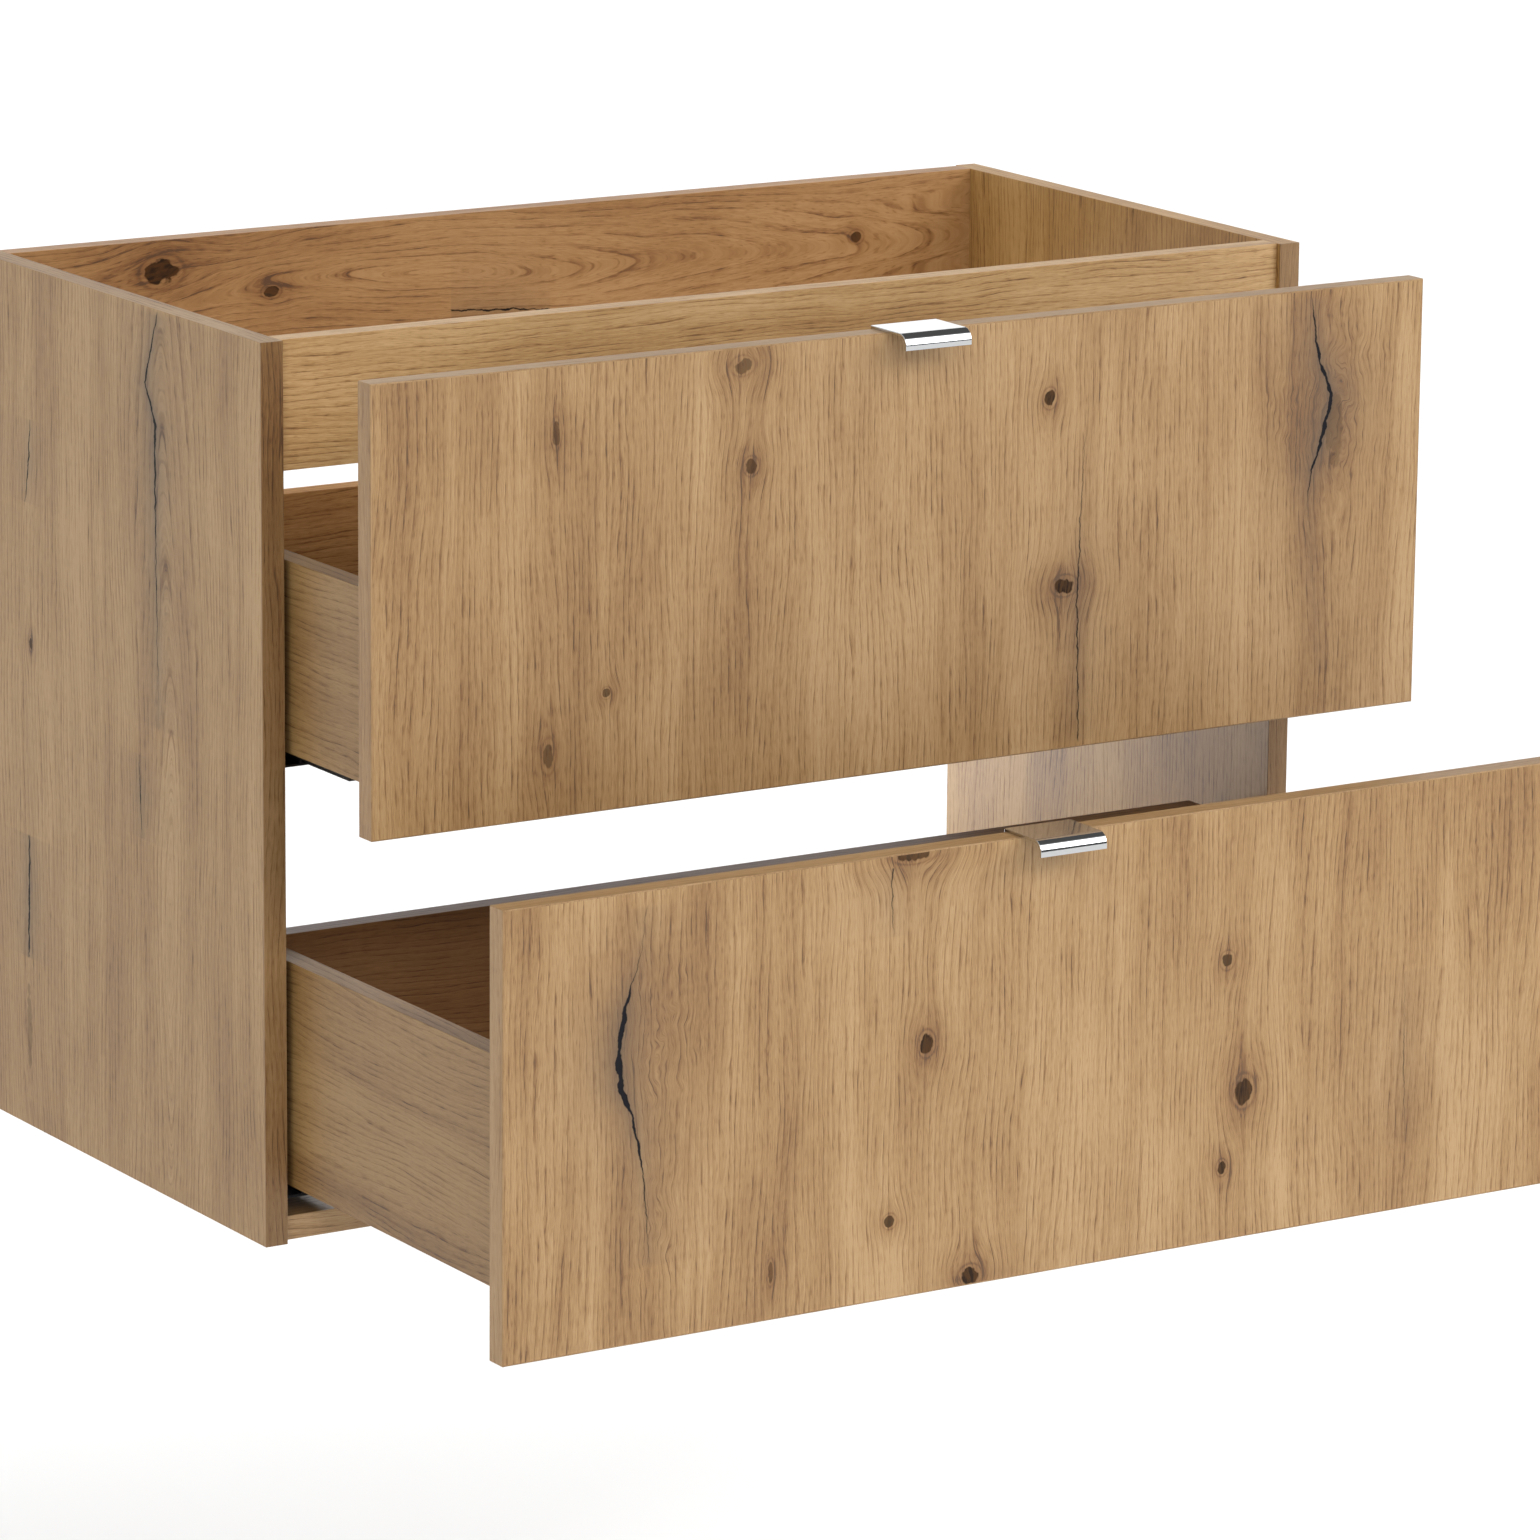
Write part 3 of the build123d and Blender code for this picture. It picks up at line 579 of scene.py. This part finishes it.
lower_front = oak(
    "oak_lower_front",
    "Y",
    "Z",
    2,
    knots=(
        (-104, -211, 13, 5, 0.85),
        (-93, -335, 5, 7, 0.95),
        (-119, -447, 4, 4, 0.85),
        (-58, -492, 7, 6, 0.95),
        (-207, -467, 2, 7, 0.6),
        (137, -311, 4.5, 5, 0.8),
        (152, -400, 7, 9, 0.9),
        (136, -449, 3.5, 4.5, 0.9),
    ),
    burls=((-284, -300, 30, 50, 0.2), (-292, -420, 16, 50, 0.14)),
    streaks=((-380, 40, 0.08), (-93, 10, 0.14), (-316, 22, 0.14), (284, 14, 0.18), (148, 24, 0.08)),
    cracks=(
        (
            (-451, -295, 0.2, 0.2),
            (-390, -300, 0.7, 0.4),
            (-352, -308, 1.5, 0.7),
            (-334, -316, 4.6, 0.9),
            (-308, -318, 3.0, 0.9),
            (-286, -314, 3.2, 0.8),
            (-268, -309, 0.5, 0.5),
            (-248, -302, 0.3, 0.3),
            (-218, -298, 0.3, 0.2),
        ),
        ((-263, -119, 0.2, 0.1), (-240, -120, 0.5, 0.2), (-218, -120, 0.5, 0.2)),
        ((-454, 283, 0.2, 0.1), (-400, 280, 0.4, 0.2), (-336, 279, 0.2, 0.1)),
    ),
)
# Outer left side: its tint darkens the decor as painted shade, for the side turned away from the key
# light.
shade_painted_left_side = oak(
    "oak_shade_painted_left_side",
    "X",
    "Z",
    3,
    knots=((-75, -164, 2.5, 4, 0.8), (-66, -430, 4, 30, 0.35)),
    arches=((-268, -330, 55),),
    streaks=((-257, 26, 0.16), (-70, 16, 0.12)),
    cracks=(
        (
            (-189, -258, 0.2, 0.3),
            (-60, -256, 0.9, 0.6),
            (0, -256, 1.9, 0.8),
            (14, -257, 2.6, 0.9),
            (40, -243, 1.6, 0.7),
            (90, -262, 0.7, 0.5),
        ),
        ((-265, -233, 0.3, 0.2), (-235, -231, 0.8, 0.4), (-208, -230, 0.3, 0.2)),
        ((-383, -66, 1.2, 0.4), (-340, -68, 2.0, 0.6), (-296, -69, 0.8, 0.4)),
        ((-69, -69, 0.4, 0.2), (-40, -75, 1.2, 0.4), (-11, -78, 0.4, 0.2)),
    ),
    tint_and_painted_light=(0.85, 0.84, 0.76),
)
# Right side: its tint makes the decor lighter and warmer as painted light, for the light that falls
# on its inside from behind.
light_painted_right_side = oak(
    "oak_light_painted_right_side",
    "X",
    "Z",
    4,
    streaks=((-330, 40, 0.3), (-240, 14, 0.2)),
    tint_and_painted_light=(1.12, 1.04, 0.76),
)
# Front rail and bottom back rail: the tint lightens the decor as painted light, for the overhead
# light that falls on them.
rail = oak("oak_rail", "Y", "X", 5, tint_and_painted_light=(1.26, 1.27, 1.24))
back_rail = oak(
    "oak_back_rail",
    "Y",
    "X",
    6,
    knots=((68, -270, 9, 13, 0.95), (48, -186, 4, 6, 0.85), (48, 287, 4, 5, 0.85)),
    arches=((50, -57, 40),),
    cracks=(((-46, 23, 0.6, 0.3), (0, 20, 1.0, 0.4), (35, 17, 0.5, 0.2)),),
    tint_and_painted_light=(1.0, 0.86, 0.72),
)
# Front edge bands of the sides: the dark tint is painted shade, for the shade the drawers cast on
# these narrow strips.
edge = oak("oak_shade_painted_edge", "X", "Z", 11, tint_and_painted_light=(0.66, 0.61, 0.54))
# Edge bands of the drawer fronts: the tint darkens the decor as painted shade on these edges.
front_band = oak("oak_shade_painted_front_band", "Y", "Z", 12, tint_and_painted_light=(0.82, 0.8, 0.77), ring_strength=0.5)
flat_rail = oak("oak_flat_rail", "Z", "X", 7)
# Drawer box sides: the dark tint is painted shade, for the shade inside the cabinet.
shade_painted_box_side = oak("oak_shade_painted_box_side", "X", "Y", 8, tint_and_painted_light=(0.65, 0.61, 0.48))
# Upper drawer back and trap front wall: the tint lightens the decor as painted light, for the
# overhead light inside the upper box.
light_painted_upper_back = oak("oak_light_painted_upper_back", "Y", "X", 9, tint_and_painted_light=(1.4, 1.2, 1.0))
# Lower drawer back: the dark tint is painted shade, for the shade inside the lower box.
shade_painted_lower_back = oak("oak_shade_painted_lower_back", "Y", "X", 13, tint_and_painted_light=(0.55, 0.42, 0.32))
# Drawer bottoms: the dark tint is painted shade, for the shade inside the drawer boxes.
shade_painted_box_bottom = oak("oak_shade_painted_box_bottom", "Z", "X", 10, tint_and_painted_light=(0.5, 0.38, 0.3))
dress(upper_front, "upper_drawer_front")
dress(lower_front, "lower_drawer_front")
dress(front_band, "upper_front_bands", "lower_front_bands")
dress(shade_painted_left_side, "side_left")
dress(edge, "side_edge_bands")
dress(light_painted_right_side, "side_right")
dress(rail, "front_rail", "bottom_back_rail")
dress(back_rail, "back_rail")
dress(flat_rail, "bottom_front_rail")
for node in nodes:
    if "drawer_side" in node or node in ("upper_trap_wall_left", "upper_trap_wall_right"):
        dress(shade_painted_box_side, node)
    elif "upper_drawer_back" in node or node == "upper_trap_wall_front":
        dress(light_painted_upper_back, node)
    elif node == "lower_drawer_back":
        dress(shade_painted_lower_back, node)
    elif "drawer_bottom" in node:
        dress(shade_painted_box_bottom, node)
    elif "dowels" in node:
        dress(beech(), node)

chrome_finish = chrome()
black_steel = steel("black_steel", (0.03, 0.03, 0.032), 0.4, 0.4)
zinc = steel("zinc", (0.62, 0.62, 0.6), 0.35, 1.0)
plastic = black_plastic()
for node in nodes:
    if node.endswith("_clips"):
        dress(plastic, node)
    elif "_runner_" in node and "screws" not in node:
        dress(black_steel, node)
    elif "screws" in node or "cam_" in node or node == "hanger_plates":
        dress(zinc, node)

for level in ("upper", "lower"):
    dress(chrome_finish, level + "_handle")
    make_handle(level, chrome_finish)
